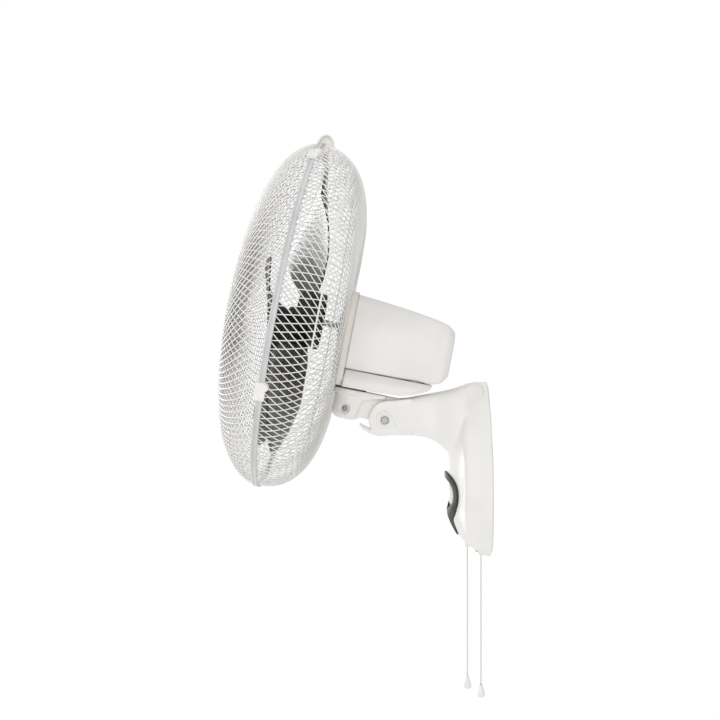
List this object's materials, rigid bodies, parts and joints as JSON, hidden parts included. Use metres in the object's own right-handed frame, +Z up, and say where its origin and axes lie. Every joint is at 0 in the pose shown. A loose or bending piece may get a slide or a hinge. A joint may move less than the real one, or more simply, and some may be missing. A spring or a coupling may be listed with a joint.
{
  "type": "wall mounted fan",
  "caption": "White wall mounted fan with a round wire cage, smoke-grey blades, tilting and swinging head, wall box with dial and two pull cords.",
  "frame": {"origin": "middle of the wall plate's back face, on the wall", "axes": "+Y into the wall, +Z up, the fan faces -Y"},
  "size_m": [0.4528, 0.3466, 0.7369],
  "materials": {
    "white_plastic": "satin",
    "cream_plastic": "satin",
    "white_coat": "gloss",
    "smoke_plastic": "translucent gloss",
    "black_plastic": "satin",
    "grey_plastic": "satin",
    "brown_plastic": "matte",
    "copper_wire": "satin",
    "zinc_steel": "satin",
    "bright_steel": "bright",
    "cord_fibre": "matte"
  },
  "bodies": {
    "wall_bracket": {"wall_plate": "zinc_steel", "bracket_shell": "white_plastic", "control_bezel": "grey_plastic", "speed_switch": "grey_plastic", "swing_switch": "grey_plastic", "terminal_block": "brown_plastic", "cable_gland": "black_plastic", "speed_grommet": "white_plastic", "swing_grommet": "white_plastic", "tilt_bolt": "bright_steel", "tilt_nut": "bright_steel", "tilt_washer_left": "brown_plastic", "tilt_washer_right": "brown_plastic", "shell_screw": "zinc_steel"},
    "neck_body": {"neck": "white_plastic", "neck_clamp_screw": "zinc_steel", "swivel_spigot": "bright_steel", "swivel_washer": "brown_plastic", "anchor_plate": "zinc_steel", "spigot_circlip": "bright_steel"},
    "head": {"swivel_bracket": "zinc_steel", "motor_flange": "cream_plastic", "rear_cover": "white_plastic", "lower_skirt": "white_plastic", "stator_core": "zinc_steel", "winding_front": "copper_wire", "winding_rear": "copper_wire", "front_bearing": "bright_steel", "rear_bearing": "bright_steel", "rear_bearing_bracket": "zinc_steel", "capacitor": "grey_plastic", "swing_motor": "zinc_steel", "rear_guard": "white_coat", "front_guard": "white_coat", "guard_badge": "white_plastic", "guard_nut": "white_plastic", "rim_band": "white_coat", "top_handle": "white_plastic"},
    "rotor": {"rotor_shaft": "bright_steel", "rotor_core": "zinc_steel", "impeller": "smoke_plastic", "drive_pin": "bright_steel", "spinner": "black_plastic"},
    "crank_body": {"crank": "black_plastic"},
    "link_body": {"link": "black_plastic"},
    "dial": {"speed_dial": "white_plastic"},
    "speed_pull": {"speed_cord": "cord_fibre", "speed_knob": "white_plastic"},
    "swing_pull": {"swing_cord": "cord_fibre", "swing_knob": "white_plastic"},
    "clip_1": {"guard_clip_1": "white_plastic"},
    "clip_2": {"guard_clip_2": "white_plastic"},
    "clip_3": {"guard_clip_3": "white_plastic"},
    "clip_4": {"guard_clip_4": "white_plastic"}
  },
  "joints": [
    {"name": "neck_tilt", "type": "hinge", "parent": "wall_bracket", "child": "neck_body", "pos_m": [0, -0.136, 0.062], "axis": [1, 0, 0], "range_deg": [0, 30]},
    {"name": "head_swing", "type": "hinge", "parent": "neck_body", "child": "head", "pos_m": [0, -0.18009, 0.10297], "axis": [0, 0.1908, 0.9816], "range_deg": [-40, 40]},
    {"name": "rotor_spin", "type": "hinge", "parent": "head", "child": "rotor", "pos_m": [0, -0.16521, 0.17953], "axis": [0, -0.9816, 0.1908], "continuous": true},
    {"name": "crank_turn", "type": "hinge", "parent": "head", "child": "crank_body", "pos_m": [0.012, -0.12638, 0.10679], "axis": [0, -0.1908, -0.9816], "range_deg": [-92, 92]},
    {"name": "link_turn", "type": "hinge", "parent": "crank_body", "child": "link_body", "pos_m": [0.0248, -0.12706, 0.10325], "axis": [0, -0.1908, -0.9816], "range_deg": [-92, 92]},
    {"name": "dial_turn", "type": "hinge", "parent": "wall_bracket", "child": "dial", "pos_m": [0, -0.0438, -0.036], "axis": [0, -0.9903, -0.1392], "range_deg": [0, 135]},
    {"name": "speed_pull_slide", "type": "slide", "parent": "wall_bracket", "child": "speed_pull", "axis": [0, 0, -1], "range_m": [0, 0.012], "stiffness_N_per_m": 400, "springref_m": -0.002},
    {"name": "swing_pull_slide", "type": "slide", "parent": "wall_bracket", "child": "swing_pull", "axis": [0, 0, -1], "range_m": [0, 0.012], "stiffness_N_per_m": 400, "springref_m": -0.002},
    {"name": "clip_1_hinge", "type": "hinge", "parent": "head", "child": "clip_1", "pos_m": [0.20555, -0.26915, 0.10651], "axis": [0.4067, 0.1743, 0.8968], "range_deg": [0, 40]},
    {"name": "clip_2_hinge", "type": "hinge", "parent": "head", "child": "clip_2", "pos_m": [0.13225, -0.21696, 0.37503], "axis": [-0.809, 0.1122, 0.577], "range_deg": [0, 40]},
    {"name": "clip_3_hinge", "type": "hinge", "parent": "head", "child": "clip_3", "pos_m": [-0.13225, -0.21696, 0.37503], "axis": [-0.809, -0.1122, -0.577], "range_deg": [0, 40]},
    {"name": "clip_4_hinge", "type": "hinge", "parent": "head", "child": "clip_4", "pos_m": [-0.20555, -0.26915, 0.10651], "axis": [0.4067, -0.1743, -0.8968], "range_deg": [0, 40]}
  ],
  "couplings": [
    {"joint": "crank_turn", "follows": "head_swing", "ratio": 2.25},
    {"joint": "link_turn", "follows": "head_swing", "ratio": -2.25}
  ]
}
